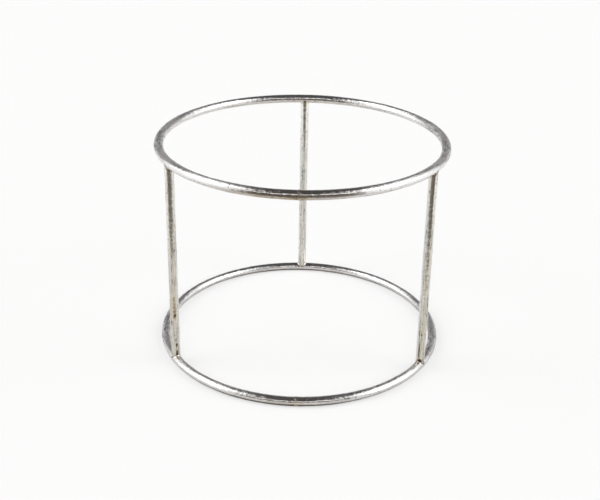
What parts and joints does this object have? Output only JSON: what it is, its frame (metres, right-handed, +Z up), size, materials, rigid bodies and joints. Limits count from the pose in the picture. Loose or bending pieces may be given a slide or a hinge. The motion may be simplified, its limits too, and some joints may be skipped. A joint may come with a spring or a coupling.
{
  "type": "plant stand",
  "caption": "Low open round plant stand of polished steel rod: equal rings above and below joined by upright legs, for a round pot.",
  "frame": {"origin": "on the floor, under the common centre of the two rings", "axes": "+Z up through the middle of both rings; -Y is the front, where both rings are closed by a weld; +Y is the back, where one leg stands; +X is to the right seen from the front"},
  "size_m": [0.2032, 0.2033, 0.1524],
  "materials": {
    "polished_rod": "polished, with fine draw lines and pits",
    "weld_metal": "satin, with a brown heat tint"
  },
  "bodies": {
    "root": {"top_ring": "polished_rod", "bottom_ring": "polished_rod", "leg_back": "polished_rod", "leg_left": "polished_rod", "leg_right": "polished_rod", "weld_top_back": "weld_metal", "weld_top_left": "weld_metal", "weld_top_right": "weld_metal", "weld_bottom_back": "weld_metal", "weld_bottom_left": "weld_metal", "weld_bottom_right": "weld_metal", "closing_weld_top": "weld_metal", "closing_weld_bottom": "weld_metal"}
  },
  "joints": []
}
